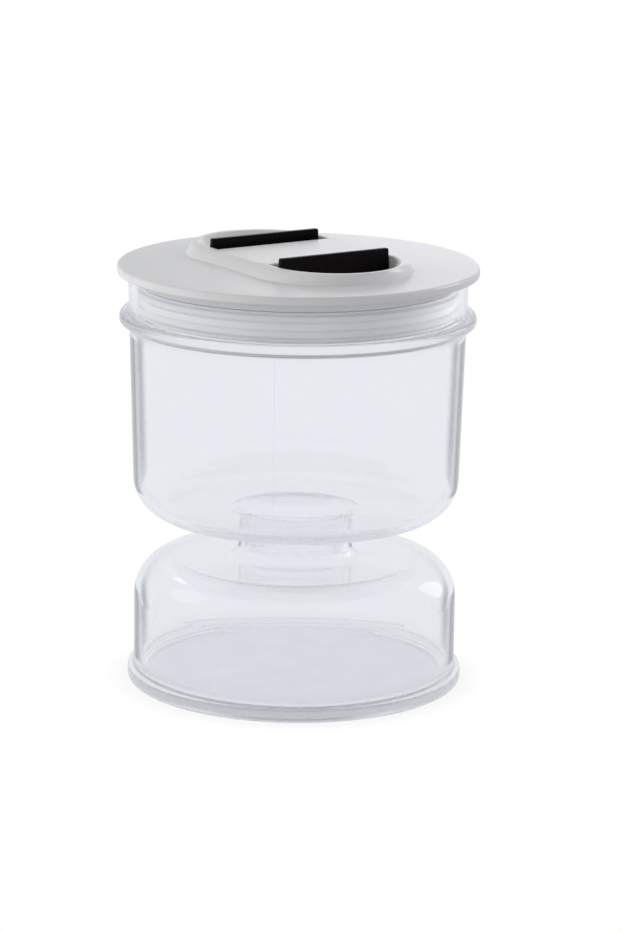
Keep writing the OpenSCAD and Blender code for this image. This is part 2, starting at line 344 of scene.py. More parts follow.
def add_shape(bm, shape):
    """Puts another shape into a bmesh as a shell of its own."""
    mesh = bpy.data.meshes.new("shape")
    shape.to_mesh(mesh)
    shape.free()
    bm.from_mesh(mesh)
    bpy.data.meshes.remove(mesh)


def add_block(bm, low, high, edge):
    """Puts a box with rounded edges into a bmesh as a shell of its own."""
    shape = bmesh.new()
    block(shape, low, high, edge)
    add_shape(bm, shape)


def to_mesh(bm, name):
    """Ends a bmesh in millimetres as a mesh in metres, with its sharp edges marked."""
    tidy_shell(bm)
    sharp = math.radians(38)
    for face in bm.faces:
        face.smooth = True
    for edge in bm.edges:
        edge.smooth = not edge.is_manifold or edge.calc_face_angle() < sharp
    bmesh.ops.scale(bm, vec=(MM, MM, MM), verts=bm.verts[:])
    mesh = bpy.data.meshes.new(name)
    bm.to_mesh(mesh)
    bm.free()
    return mesh


def new_object(data, name):
    """An object at the origin, in the scene, for a mesh, a camera or a lamp."""
    obj = bpy.data.objects.new(name, data)
    bpy.context.scene.collection.objects.link(obj)
    return obj


def carve(bm, cutter):
    """The first shape less the second."""
    solid = new_object(to_mesh(bm, "solid"), "solid")
    tool = new_object(to_mesh(cutter, "tool"), "tool")
    cut = solid.modifiers.new("cut", "BOOLEAN")
    cut.operation = "DIFFERENCE"
    cut.solver = "EXACT"
    cut.object = tool
    carved = solid.evaluated_get(bpy.context.evaluated_depsgraph_get()).to_mesh()
    result = bmesh.new()
    result.from_mesh(carved)
    bmesh.ops.scale(result, vec=(1 / MM, 1 / MM, 1 / MM), verts=result.verts[:])
    for obj in (solid, tool):
        mesh = obj.data
        bpy.data.objects.remove(obj)
        bpy.data.meshes.remove(mesh)
    return result


def flats_stay_flat(obj):
    """Lets the large faces lead the shading where they meet rounded edges."""
    lead = obj.modifiers.new("lead", "WEIGHTED_NORMAL")
    lead.keep_sharp = True
    led = obj.evaluated_get(bpy.context.evaluated_depsgraph_get())
    plain = obj.data
    obj.data = bpy.data.meshes.new_from_object(led)
    obj.modifiers.clear()
    name = plain.name
    bpy.data.meshes.remove(plain)
    obj.data.name = name


def piece(bm, name, node, body, material):
    """Ends a bmesh as a finished piece that stands for a CAD node."""
    mesh = to_mesh(bm, name)
    mesh.materials.append(material)
    obj = new_object(mesh, name)
    flats_stay_flat(obj)
    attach(obj, body)
    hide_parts(node)
    return obj


# Materials


def new_material(name):
    """A new material, its node tree and its Principled shader."""
    material = bpy.data.materials.new(name)
    material.use_nodes = True
    tree = material.node_tree
    return material, tree, tree.nodes["Principled BSDF"]


def noise(tree, scale, detail=3.0):
    """Noise through the piece, in features of about 1 / scale metres."""
    coordinates = tree.nodes.new("ShaderNodeTexCoord")
    texture = tree.nodes.new("ShaderNodeTexNoise")
    texture.inputs["Scale"].default_value = scale
    texture.inputs["Detail"].default_value = detail
    tree.links.new(coordinates.outputs["Object"], texture.inputs["Vector"])
    return texture.outputs["Fac"]


def ramp(tree, source, first, second):
    """A colour that runs from one to another between two values of the source."""
    node = tree.nodes.new("ShaderNodeValToRGB")
    for element, (position, colour) in zip(node.color_ramp.elements, (first, second)):
        element.position = position
        element.color = (*colour, 1)
    tree.links.new(source, node.inputs["Fac"])
    return node.outputs["Color"]


def between(tree, source, from_low, from_high, to_low=0, to_high=1, easing="LINEAR"):
    """A source's values stretched from one reach to another."""
    node = tree.nodes.new("ShaderNodeMapRange")
    node.interpolation_type = easing
    ends = {"From Min": from_low, "From Max": from_high, "To Min": to_low, "To Max": to_high}
    for name, value in ends.items():
        node.inputs[name].default_value = value
    tree.links.new(source, node.inputs["Value"])
    return node.outputs["Result"]


def combined(tree, operation, sources):
    """Several values added, multiplied or otherwise brought together."""
    total = sources[0]
    for source in sources[1:]:
        node = tree.nodes.new("ShaderNodeMath")
        node.operation = operation
        tree.links.new(total, node.inputs[0])
        tree.links.new(source, node.inputs[1])
        total = node.outputs["Value"]
    return total


def spread(tree, source, low, high):
    """A value between low and high that follows the noise."""
    return between(tree, source, NOISE_LOW, NOISE_HIGH, low, high)


def shades(tree, source, first, second):
    """A colour between two that follows the noise."""
    return ramp(tree, source, (NOISE_LOW, first), (NOISE_HIGH, second))


def relief(tree, shader, source, depth, strength=1.0):
    """Bump of a depth in metres."""
    bump = tree.nodes.new("ShaderNodeBump")
    bump.inputs["Strength"].default_value = strength
    bump.inputs["Distance"].default_value = depth
    tree.links.new(source, bump.inputs["Height"])
    tree.links.new(bump.outputs["Normal"], shader.inputs["Normal"])


def show_mix(tree, share, first, second, output):
    """Sends a mix of two shaders to the output: the first at a share of 0, the second at 1."""
    mix = tree.nodes.new("ShaderNodeMixShader")
    tree.links.new(share, mix.inputs["Fac"])
    tree.links.new(first, mix.inputs[1])
    tree.links.new(second, mix.inputs[2])
    tree.links.new(mix.outputs["Shader"], tree.nodes[output].inputs["Surface"])


def pass_lamps(tree, shader, tint):
    """Lets lamps shine through clear plastic, a little dimmed."""
    lamp_ray = tree.nodes.new("ShaderNodeLightPath").outputs["Is Shadow Ray"]
    clear = tree.nodes.new("ShaderNodeBsdfTransparent")
    clear.inputs["Color"].default_value = (*tint, 1)
    show_mix(tree, lamp_ray, shader.outputs["BSDF"], clear.outputs["BSDF"], "Material Output")


def reach(tree, vector, direction):
    """How far a vector reaches in a direction."""
    node = tree.nodes.new("ShaderNodeVectorMath")
    node.operation = "DOT_PRODUCT"
    node.inputs[1].default_value = direction
    tree.links.new(vector, node.inputs[0])
    return node.outputs["Value"]


def size_of(tree, source):
    """A value without its sign."""
    node = tree.nodes.new("ShaderNodeMath")
    node.operation = "ABSOLUTE"
    tree.links.new(source, node.inputs[0])
    return node.outputs["Value"]


def tinted(tree, colours):
    """Several colours multiplied."""
    total = colours[0]
    for colour in colours[1:]:
        node = tree.nodes.new("ShaderNodeMix")
        node.data_type = "RGBA"
        node.blend_type = "MULTIPLY"
        node.inputs["Factor"].default_value = 1
        tree.links.new(total, node.inputs["A"])
        tree.links.new(colour, node.inputs["B"])
        total = node.outputs["Result"]
    return total


def wall_tint_and_painted_shade(tree, place):
    """Nearly clear, with painted shade: grey in the foot ring, along the near half of the mould line and in a
    wall that turns away.
    """
    geometry = tree.nodes.new("ShaderNodeNewGeometry")
    facing = tree.nodes.new("ShaderNodeLayerWeight")
    facing.inputs["Blend"].default_value = 0.5
    height = reach(tree, place, (0, 0, 1))
    tilt = size_of(tree, reach(tree, geometry.outputs["Normal"], (0, 0, 1)))
    entering = between(tree, geometry.outputs["Backfacing"], 0, 1, 1, 0)
    upright = between(tree, tilt, 0.2, 0.6, 1, 0)
    below_bead = between(tree, height, bead_z * MM, (bead_z - bead_h) * MM)
    above_foot = between(tree, height, foot_h * MM, 2 * foot_h * MM)
    # Painted shade: upright walls seen at a grazing angle, where the ray enters, are tinted dark grey in
    # place of the dark edges clear plastic shows
    edge = combined(tree, "MULTIPLY", (facing.outputs["Facing"], entering, upright, below_bead, above_foot))
    edge_painted_shade = ramp(tree, edge, (0.68, (0.985, 0.985, 0.99)), (0.79, (0.06, 0.065, 0.08)))
    # Painted shade: the foot ring is tinted a little grey to darken it
    foot = between(tree, height, 1.3 * foot_h * MM, foot_h * MM)
    foot_painted_shade = ramp(tree, foot, (0, (1, 1, 1)), (1, (0.96, 0.965, 0.98)))
    # Painted shade: a grey line along the mould line on the near half of the upper wall, in place of the dark
    # line its ridge makes in the light
    mould_along = (math.cos(mould_turn), math.sin(mould_turn), 0)
    mould_across = (-math.sin(mould_turn), math.cos(mould_turn), 0)
    off_line = size_of(tree, reach(tree, place, mould_across))
    on_line = between(tree, off_line, mould_half_width * MM, 0)
    near_side = between(tree, reach(tree, place, mould_along), 0, neck_r * MM)
    above_waist = between(tree, height, corner_z * MM, (corner_z + upper_round) * MM)
    line = combined(tree, "MULTIPLY", (on_line, near_side, entering, above_waist, below_bead))
    mould_line_painted_shade = ramp(tree, line, (0, (1, 1, 1)), (1, (0.86, 0.86, 0.88)))
    return tinted(tree, (edge_painted_shade, foot_painted_shade, mould_line_painted_shade))


def soft_band(tree, height, start, full, last, end, amount):
    """An amount that comes in between two heights and goes out again between two more."""
    coming = between(tree, height, start * MM, full * MM, 0, amount)
    going = between(tree, height, end * MM, last * MM)
    return combined(tree, "MULTIPLY", (coming, going))


def clear_plastic():
    """Clear moulded plastic with slow waves in its surface, less glossy in the foot, neck and bead."""
    material, tree, shader = new_material("clear_plastic")
    shader.inputs["Transmission Weight"].default_value = 1
    shader.inputs["IOR"].default_value = 1.5
    place = tree.nodes.new("ShaderNodeTexCoord").outputs["Object"]
    # The base colour carries painted shade at the grazing edges, in the foot ring and along the mould line
    tree.links.new(wall_tint_and_painted_shade(tree, place), shader.inputs["Base Color"])
    height = reach(tree, place, (0, 0, 1))
    in_foot = between(tree, height, 2.4 * foot_h * MM, 1.6 * foot_h * MM, 0, 0.15)
    neck_start = lower_h - shoulder_round
    neck_end = corner_z + upper_round
    in_neck = soft_band(tree, height, neck_start, lower_h, corner_z, neck_end, 0.05)
    bead_start = bead_z - bead_h
    bead_end = bead_top + bead_h / 2
    in_bead = soft_band(tree, height, bead_start, bead_z, bead_top, bead_end, 0.035)
    root_start = bead_z - 2.5 * bead_round
    root_low = bead_z - bead_round
    root_high = bead_z + bead_round
    in_root = soft_band(tree, height, root_start, root_low, root_high, bead_top, 0.12)
    even = spread(tree, noise(tree, 90), 0.03, 0.06)
    roughness = combined(tree, "ADD", (even, in_foot, in_neck, in_bead, in_root))
    tree.links.new(roughness, shader.inputs["Roughness"])
    relief(tree, shader, noise(tree, 45, 2), 0.00025, 0.1)
    pass_lamps(tree, shader, (0.96, 0.96, 0.97))
    return material


def strainer_plastic():
    """Clear plastic, so thin that it hardly bends light, under a soft gloss."""
    material, tree, shader = new_material("strainer_plastic")
    shader.inputs["Base Color"].default_value = (0.99, 0.99, 0.995, 1)
    shader.inputs["Transmission Weight"].default_value = 1
    shader.inputs["IOR"].default_value = 1.012
    shader.inputs["Coat Weight"].default_value = 0.6
    shader.inputs["Coat Roughness"].default_value = 0.12
    tree.links.new(spread(tree, noise(tree, 160), 0.1, 0.16), shader.inputs["Roughness"])
    pass_lamps(tree, shader, (0.97, 0.97, 0.98))
    return material


def white_plastic():
    """Satin white moulded plastic with a fine spark-eroded grain."""
    material, tree, shader = new_material("white_plastic")
    tint = shades(tree, noise(tree, 30), (0.80, 0.80, 0.795), (0.83, 0.83, 0.835))
    tree.links.new(tint, shader.inputs["Base Color"])
    tree.links.new(spread(tree, noise(tree, 900), 0.28, 0.36), shader.inputs["Roughness"])
    shader.inputs["Specular IOR Level"].default_value = 0.45
    relief(tree, shader, noise(tree, 3500, 1), 0.00002, 0.15)
    return material


def gasket_silicone():
    """Soft, faintly translucent white silicone."""
    material, tree, shader = new_material("gasket_silicone")
    tint = shades(tree, noise(tree, 60), (0.88, 0.88, 0.89), (0.92, 0.92, 0.93))
    tree.links.new(tint, shader.inputs["Base Color"])
    tree.links.new(spread(tree, noise(tree, 500), 0.45, 0.6), shader.inputs["Roughness"])
    shader.inputs["Subsurface Weight"].default_value = 0.2
    shader.inputs["Subsurface Radius"].default_value = (0.002, 0.002, 0.002)
    relief(tree, shader, noise(tree, 1500, 1), 0.00002, 0.4)
    return material


def black_plastic():
    """Glossy black moulded plastic, faintly brown, with fine rubbing."""
    material, tree, shader = new_material("black_plastic")
    tint = shades(tree, noise(tree, 80), (0.004, 0.003, 0.003), (0.008, 0.006, 0.006))
    tree.links.new(tint, shader.inputs["Base Color"])
    tree.links.new(spread(tree, noise(tree, 700), 0.16, 0.28), shader.inputs["Roughness"])
    shader.inputs["Specular IOR Level"].default_value = 0.06
    relief(tree, shader, noise(tree, 2500, 1), 0.00001, 0.4)
    return material


def spring_steel():
    """Bright drawn wire."""
    material, tree, shader = new_material("spring_steel")
    shader.inputs["Metallic"].default_value = 1
    tint = shades(tree, noise(tree, 600), (0.55, 0.55, 0.56), (0.68, 0.68, 0.7))
    tree.links.new(tint, shader.inputs["Base Color"])
    tree.links.new(spread(tree, noise(tree, 2500), 0.2, 0.35), shader.inputs["Roughness"])
    return material


# Jar


def raise_mould_line(bm):
    """Adds the fine ridge that the two halves of the mould leave on the outside."""
    across = Vector((-math.sin(mould_turn), math.cos(mould_turn), 0))
    for offset in (-mould_half_width, 0, mould_half_width):
        plane_co = across * offset
        bmesh.ops.bisect_plane(bm, geom=everything(bm), plane_co=plane_co, plane_no=across, dist=NEAR)
    bm.normal_update()
    for vert in bm.verts:
        outward = Vector((vert.co.x, vert.co.y, 0))
        on_line = abs(vert.co.dot(across)) < 2 * NEAR
        if on_line and vert.normal.dot(outward) > mould_least_outward * outward.length > 0:
            vert.co += vert.normal * mould_ridge


def make_jar(material):
    """The clear jar: one wall around two chambers and the neck between them."""
    bead_r = wall_r(bead_z) + bead_lip
    rim_round = 0.45 * wall
    bm = turned([
        (0, base_recess, 0),
        (recess_r, base_recess, edge_round),
        (recess_r + 2 * base_recess, 0, edge_round),
        (foot_r, 0, foot_round),
        (foot_r, foot_h, edge_round),
        (lower_r, foot_h + foot_slope, foot_root),
        (lower_r, lower_h, shoulder_round),
        (neck_r, lower_h, neck_round),
        (neck_r, waist_z, neck_round),
        (upper_r, corner_z, upper_round),
        (wall_r(bead_z), bead_z, bead_round),
        (bead_r, bead_z, bead_round),
        (bead_r, bead_top, bead_round),
        (wall_r(bead_top), bead_top, edge_round),
        (mouth_r, jar_h, rim_round),
        (mouth_r - wall, jar_h, rim_round),
        (upper_r - wall, corner_z + wall, upper_round - wall),
        (neck_in_r, waist_z + wall, neck_in_round),
        (neck_in_r, lower_h - wall, neck_in_round),
        (lower_r - wall, lower_h - wall, shoulder_round - wall),
        (lower_r - wall, base_in_z, base_round),
        (0, base_in_z, 0),
    ], JAR_STEPS)
    raise_mould_line(bm)
    piece(bm, "clear_jar", "jar_body", "jar", material)


# Strainer


def make_strainer(material):
    """The slotted cage that hangs in the neck by its lip."""
    near_round = neck_in_round + strainer_gap
    far_round = near_round + strainer_t
    slope = math.atan(floor_fall / (upper_r - neck_r))
    flare_r = neck_in_r + neck_in_round
    flare_z = waist_z + wall + neck_in_round * (math.tan(slope) - 1 / math.cos(slope))
    lip_turn = math.pi / 2 + lip_rise

    def lip_tip(radius):
        return flare_r + radius * math.cos(lip_turn), flare_z + radius * math.sin(lip_turn)

    def lip_root(radius):
        tip_r, tip_z = lip_tip(radius)
        root_r = flare_r - radius
        return root_r, tip_z - (tip_r - root_r) * math.tan(lip_rise)

    bm = turned([
        (0, cage_low_z, 0),
        (cage_low_r, cage_low_z, cage_round),
        (*lip_root(near_round), near_round),
        (*lip_tip(near_round), lip_edge),
        (*lip_tip(far_round), lip_edge),
        (*lip_root(far_round), far_round),
        (cage_low_r - strainer_t, cage_low_z + strainer_t, cage_in_round),
        (0, cage_low_z + strainer_t, 0),
    ], STRAINER_STEPS)
    slots = bmesh.new()
    for i in range(cage_slots):
        slot = bmesh.new()
        low = (cage_low_r - 2 * strainer_t, -slot_w / 2, cage_low_z + strainer_t + slot_margin)
        block(slot, low, (neck_r, slot_w / 2, flare_z))
        if i % 2 == 0:
            end = cage_low_r - strainer_t - slot_margin
            low = (floor_slot_in, -slot_w / 2, cage_low_z - CUT_PAST)
            block(slot, low, (end, slot_w / 2, cage_low_z + strainer_t + CUT_PAST))
        turn_about(slot, math.tau * i / cage_slots)
        add_shape(slots, slot)
    piece(carve(bm, slots), "neck_strainer", "strainer", "strainer", material)


# Lid


def obround_reach(length, width, turn):
    """Distance from the middle of an outline with round ends to its edge, in one direction."""
    half = width / 2
    straight = (length - width) / 2
    along = abs(math.cos(turn))
    across = abs(math.sin(turn))
    if straight * across >= half * along:
        return half / across
    return straight * along + math.sqrt(half ** 2 - (straight * across) ** 2)


def deck_height(radius):
    """Height of the lid's gently coned top."""
    return edge_z + lid_crown * (lid_r - radius) / (lid_r - foot_w / 2)


def grip_wall(share):
    """Ring on the swelling slope of the grip's wall: 0 is the rim, 1 is its foot."""
    fallen = (1 - swell) * share + swell * share ** 2

    def ring(turn):
        foot_z = deck_height(obround_reach(foot_l, foot_w, turn))
        radius = obround_reach(grip_l + 2 * end_spread * share, grip_w + 2 * grip_spread * share, turn)
        return radius, grip_z - (grip_z - foot_z) * fallen
    return ring


def deck_ring(share):
    """Ring on the lid's top, a share of the way from the grip's foot to the edge."""
    def ring(turn):
        foot = obround_reach(foot_l, foot_w, turn)
        radius = foot + (lid_r - foot) * share
        return radius, deck_height(radius)
    return ring


def round_ring(radius, height):
    """Plain circle."""
    return lambda turn: (radius, height)


def loft(rings):
    """A skin through rings, each of which gives a radius and a height for a direction."""
    bm = bmesh.new()
    verts = bmesh.ops.create_circle(bm, radius=1, segments=LOFT_STEPS)["verts"]
    edges = bm.edges[:]
    for i, ring in enumerate(rings):
        if i:
            grown = bmesh.ops.extrude_edge_only(bm, edges=edges)["geom"]
            verts = [item for item in grown if isinstance(item, bmesh.types.BMVert)]
            edges = [item for item in grown if isinstance(item, bmesh.types.BMEdge) and item.is_boundary]
        for vert in verts:
            turn = math.atan2(vert.co.y, vert.co.x)
            radius, height = ring(turn)
            vert.co = (radius * math.cos(turn), radius * math.sin(turn), height)
    return bm


def grip_tops(bm):
    """Faces at the height of the grip's top."""
    return [face for face in bm.faces if face.calc_center_median().z > grip_z - NEAR]


def sink_wells(bm):
    """Sinks the two finger wells into the grip's top, scooped at their round ends, beside the bar."""
    for side in (-1, 1):
        tops = grip_tops(bm)
        geom = [item for face in tops for item in (*face.verts, *face.edges)] + tops
        plane_co = (side * bar_in, 0, 0)
        bmesh.ops.bisect_plane(bm, geom=list(dict.fromkeys(geom)), plane_co=plane_co, plane_no=(1, 0, 0))
    for end in [face for face in grip_tops(bm) if abs(face.calc_center_median().x) > bar_w / 2]:
        # The scoop starts past the tab and eases in
        for vert in sink(bm, end, rim_t, grip_z - well_z):
            middle = Vector((math.copysign((grip_l - grip_w) / 2, vert.co.x), 0, vert.co.z))
            past_tab = min(1, max(0, (abs(vert.co.x) - tab_out - 2 * slide_gap) / scoop_run))
            vert.co -= (vert.co - middle).normalized() * scoop * past_tab ** 2 * (3 - 2 * past_tab)


def lid_openings():
    """What is cut from the lid: the hollow under the bar, the tab slots and the windows for the shoes."""
    bm = bmesh.new()
    block(bm, (-bar_in, -well_w / 2, seat_z - CUT_PAST), (bar_in, well_w / 2, grip_z - rim_t))
    for side in (-1, 1):
        slot = sorted((side * slot_in, side * (tab_out + slide_gap)))
        half = tab_half + slide_gap
        block(bm, (slot[0], -half, seat_z - CUT_PAST), (slot[1], half, well_z + CUT_PAST))
        window = sorted((side * window_in_r, side * (skirt_r + CUT_PAST)))
        half = shoe_w / 2 + slide_gap
        block(bm, (window[0], -half, shoe_z - slide_gap), (window[1], half, slider_z))
    return bm


def make_lid(material):
    """The white lid: deck, grip with its finger wells, and plug."""
    wall_steps = 10
    rings = [grip_wall(i / wall_steps) for i in range(wall_steps + 1)]
    rings += [deck_ring(share) for share in (0.25, 0.5, 0.75, 1)]
    plug = [
        (lid_r, seat_z),
        (shoulder_r, seat_z),
        (shoulder_r, slider_z),
        (skirt_r, slider_z),
        (skirt_r, cover_top),
        (skirt_in_r, cover_top),
        (skirt_in_r, seat_z),
    ]
    rings += [round_ring(*corner) for corner in plug]
    bm = loft(rings)
    bmesh.ops.holes_fill(bm, edges=[edge for edge in bm.edges if edge.is_boundary], sides=0)
    tidy_shell(bm)
    bevel(bm, ring_edges(bm, lid_r, edge_z), edge_round, 4)
    bevel(bm, ring_edges(bm, lid_r, seat_z), root_round, 3)
    bevel(bm, ring_edges(bm, shoulder_r, slider_z), root_round, 3)
    sink_wells(bm)
    bm.normal_update()
    bevel(bm, level_edges(bm, grip_z), rim_edge, 4)
    bevel(bm, level_edges(bm, well_z), well_fillet, 4)
    piece(carve(bm, lid_openings()), "white_lid", "lid_top", "lid", material)


def make_cover(material):
    """The cover under the plug, with the spine, posts and rails that carry the sliders and springs."""
    plate_top = cover_top - fit_gap
    spigot_z = cover_top + spigot_h
    snap_z = cover_top + spigot_h / 2
    bm = turned([
        (0, cover_z, 0),
        (shoulder_r, cover_z, edge_round),
        (shoulder_r, plate_top, root_round),
        (spigot_r, plate_top, 0),
        (spigot_r, snap_z - snap_r, 0),
        (spigot_r + snap_r, snap_z, snap_round),
        (spigot_r, snap_z + snap_r, 0),
        (spigot_r, spigot_z, root_round),
        (spigot_r - spigot_t, spigot_z, root_round),
        (spigot_r - spigot_t, plate_top, spigot_root),
        (0, plate_top, 0),
    ])
    spine = bmesh.new()
    block(spine, (-spine_half, -spine_y, plate_top - SUNK), (spine_half, spine_y, spine_z))
    top = max(spine.faces, key=lambda face: face.calc_center_median().z)
    sink(spine, top, spine_wall, spine_z - plate_top)
    add_shape(bm, spine)
    start = spine_half - spine_wall / 2
    length = spine_wall / 2 + post_l
    for side in (-1, 1):
        ends = sorted((side * rail_in, side * rail_out))
        for row in (-spring_y, spring_y):
            place = Matrix.Translation((side * (start + length / 2), row, spring_z))
            place @= Matrix.Rotation(math.pi / 2, 4, "Y")
            post = bmesh.new()
            bmesh.ops.create_cone(post, cap_ends=True, segments=POST_STEPS,
                                  radius1=post_r, radius2=post_r, depth=length, matrix=place)
            add_shape(bm, post)
            low = (ends[0], row - rail_t / 2, plate_top - SUNK)
            add_block(bm, low, (ends[1], row + rail_t / 2, slider_z - slide_gap), small_edge)
    piece(bm, "plug_cover", "lid_base", "lid", material)


def make_gasket(material):
    """Ring around the plug, with two lips towards the mouth."""
    in_r = skirt_r + fit_gap
    low = gasket_low.z
    high = gasket_high.z
    corners = [(in_r, low, 0), (shoulder_r, low, root_round)]
    for middle in (low + (high - low) / 4, low + (high - low) * 3 / 4):
        corners += [
            (shoulder_r, middle - gasket_lip_foot / 2, gasket_lip_fillet),
            (gasket_r, middle - gasket_lip_h / 2 + root_round, root_round),
            (gasket_r, middle + gasket_lip_h / 2 + root_round, root_round),
            (shoulder_r, middle + gasket_lip_foot / 2 + root_round, gasket_lip_fillet),
        ]
    corners += [(shoulder_r, high, root_round), (in_r, high, 0)]
    piece(turned(corners), "lid_gasket", "gasket", "lid", material)


# Pinch tabs


def finger_plate(low):
    """The upright plate from a height to the tab's top, with its top corners rounded, then all its edges."""
    top_half = tab_half - tab_slant
    outline = [
        (tab_in, -tab_half, low),
        (tab_in, tab_half, low),
        (tab_in, tab_half, well_z),
        (tab_in, top_half, tab_z),
        (tab_in, -top_half, tab_z),
        (tab_in, -tab_half, well_z),
    ]
    bm = bmesh.new()
    face = bm.faces.new([bm.verts.new(point) for point in outline])
    push(bm, face, (tab_t, 0, 0))
    tidy_shell(bm)
    corners = [Vector((tab_in + tab_t / 2, half, tab_z)) for half in (top_half, -top_half)]

    def at_corner(edge):
        middle = (edge.verts[0].co + edge.verts[1].co) / 2
        return any((middle - corner).length < NEAR for corner in corners)

    bevel(bm, [edge for edge in bm.edges if at_corner(edge)], tab_round, 6)
    bevel(bm, sharp_edges(bm, 40), tab_edge, 3)
    return bm


def shoe_step(out_r, high):
    """One step of the shoe: part of a ring across +X, out to a radius and up to a height."""
    half = math.asin(shoe_w / 2 / out_r)
    bm = bmesh.new()
    points = [(shoe_in_r, 0, shoe_z), (out_r, 0, shoe_z), (out_r, 0, high), (shoe_in_r, 0, high)]
    bm.faces.new([bm.verts.new(point) for point in points])
    turn_about(bm, -half)
    bmesh.ops.spin(bm, geom=everything(bm), axis=(0, 0, 1), angle=2 * half, steps=SHOE_STEPS)
    tidy_shell(bm)
    bevel(bm, sharp_edges(bm, 50), small_edge, 2)
    return bm


def slider_plate():
    """The flat slider, square towards the middle and round towards the skirt."""
    bm = bmesh.new()
    end_x = math.sqrt(slider_r ** 2 - slider_half ** 2)
    start = bm.verts.new((end_x, -slider_half, slider_z))
    turn = 2 * math.asin(slider_half / slider_r)
    bmesh.ops.spin(bm, geom=[start], axis=(0, 0, 1), angle=turn, steps=SLIDER_STEPS)
    rim = sorted(bm.verts, key=lambda vert: vert.co.y)
    inner = [bm.verts.new((slider_in, half, slider_z)) for half in (slider_half, -slider_half)]
    face = bm.faces.new(rim + inner)
    push(bm, face, (0, 0, slider_t))
    tidy_shell(bm)
    bevel(bm, sharp_edges(bm, 50), small_edge, 2)
    return bm


def make_tab(name, node, body, side, material):
    """Upright finger plate, slider, end wall for the springs and shoe, moulded in one."""
    root_z = slider_z + slider_t / 2
    end_z = spring_z - spring_d / 2 - spring_room
    bm = finger_plate(root_z)
    add_shape(bm, slider_plate())
    add_block(bm, (slider_in, -spine_y, end_z), (slider_in + end_wall_t, spine_y, root_z), small_edge)
    add_shape(bm, shoe_step(slider_r, root_z))
    add_shape(bm, shoe_step(shoe_r, slider_z - slide_gap))
    if side < 0:
        turn_about(bm, math.pi)
    piece(bm, name, node, body, material)


# Springs


def make_spring(name, node, side, row, material):
    """Coil of wire beside the spine, on a mesh of its own."""
    steps = spring_turns * COIL_STEPS
    coil_r = (spring_d - spring_wire) / 2
    start = spring_start + spring_wire / 2
    length = spring_end - spring_start - spring_wire
    bm = bmesh.new()
    place = Matrix.Translation((start, row + coil_r, spring_z))
    bmesh.ops.create_circle(bm, cap_ends=True, segments=WIRE_STEPS, radius=spring_wire / 2, matrix=place)
    bmesh.ops.spin(bm, geom=everything(bm), cent=(start, row, spring_z), axis=(1, 0, 0),
                   dvec=(length / steps, 0, 0), angle=math.tau * spring_turns, steps=steps)
    if side < 0:
        turn_about(bm, math.pi)
    obj = piece(bm, name, node, "lid", material)
    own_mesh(obj)


# Studio

# Turn of the jar about Z as the camera sees it, where the camera stands and looks, and the floor's half width
jar_turn = math.radians(57.2)
camera_away = 1169.5
camera_height = 355.7
camera_pitch = math.radians(13.595)
camera_yaw = math.radians(0.235)
camera_roll = math.radians(0.767)
camera_lens = 138.8
camera_sensor = 36
floor_half = 6000


def from_camera(right, away, up):
    """A point given as the camera sees it, in millimetres from the middle of the jar's foot, in metres."""
    return Matrix.Rotation(jar_turn, 3, "Z") @ Vector((right, away, up)) * MM


def make_camera():
    """Looks at the jar from where the photograph was taken."""
    data = bpy.data.cameras.new("photo_camera")
    data.lens = camera_lens
    data.sensor_fit = "VERTICAL"
    data.sensor_height = camera_sensor
    camera = new_object(data, "photo_camera")
    level = math.cos(camera_pitch)
    look = Vector((math.sin(camera_yaw) * level, math.cos(camera_yaw) * level, -math.sin(camera_pitch)))
    look = Matrix.Rotation(jar_turn, 3, "Z") @ look
    turn = look.to_track_quat("-Z", "Y").to_matrix().to_4x4() @ Matrix.Rotation(camera_roll, 4, "Z")
    camera.matrix_world = Matrix.Translation(from_camera(0, -camera_away, camera_height)) @ turn
    bpy.context.scene.camera = camera


def soft_lamp(name, place, aim, width, height, power, colour, in_gloss):
    """A softbox that lights the jar, and may show in its gloss."""
    data = bpy.data.lights.new(name, "AREA")
    data.shape = "ELLIPSE"
    data.size = width * MM
    data.size_y = height * MM
    data.energy = power
    data.color = colour
    lamp = new_object(data, name)
    spot = from_camera(*place)
    turn = (from_camera(*aim) - spot).to_track_quat("-Z", "Y").to_matrix().to_4x4()
    lamp.matrix_world = Matrix.Translation(spot) @ turn
    lamp.visible_camera = False
    lamp.visible_transmission = False
    lamp.visible_glossy = in_gloss


def seen_directly(tree):
    """1 for the rays that show the background: from the camera, in gloss and through clear plastic."""
    path = tree.nodes.new("ShaderNodeLightPath")
    kinds = ("Is Camera Ray", "Is Glossy Ray", "Is Transmission Ray")
    return combined(tree, "MAXIMUM", [path.outputs[kind] for kind in kinds])


def paper_shade(tree):
    """White as it is seen, a pale lavender white through clear plastic and greyer in gloss."""
    in_gloss = (0.87, 0.885, 0.91, 1)
    through_plastic = (0.83, 0.853, 0.895, 1)
    white = (1, 1, 1, 1)
    path = tree.nodes.new("ShaderNodeLightPath")
    shade = None
    for kind, colour in (("Is Transmission Ray", through_plastic), ("Is Camera Ray", white)):
        mix = tree.nodes.new("ShaderNodeMix")
        mix.data_type = "RGBA"
        if shade is None:
            mix.inputs["A"].default_value = in_gloss
        else:
            tree.links.new(shade, mix.inputs["A"])
        mix.inputs["B"].default_value = colour
        tree.links.new(path.outputs[kind], mix.inputs["Factor"])
        shade = mix.outputs["Result"]
    return shade


def make_world():
    """Pale light from all around, with white paper where the background is seen."""
    world = bpy.data.worlds.new("studio")
    world.use_nodes = True
    bpy.context.scene.world = world
    tree = world.node_tree
    ambient = tree.nodes["Background"]
    ambient.inputs["Color"].default_value = (0.97, 0.97, 1, 1)
    ambient.inputs["Strength"].default_value = 0.385
    backdrop = tree.nodes.new("ShaderNodeBackground")
    tree.links.new(paper_shade(tree), backdrop.inputs["Color"])
    backdrop.inputs["Strength"].default_value = 1
    all_around = ambient.outputs["Background"]
    show_mix(tree, seen_directly(tree), all_around, backdrop.outputs["Background"], "World Output")


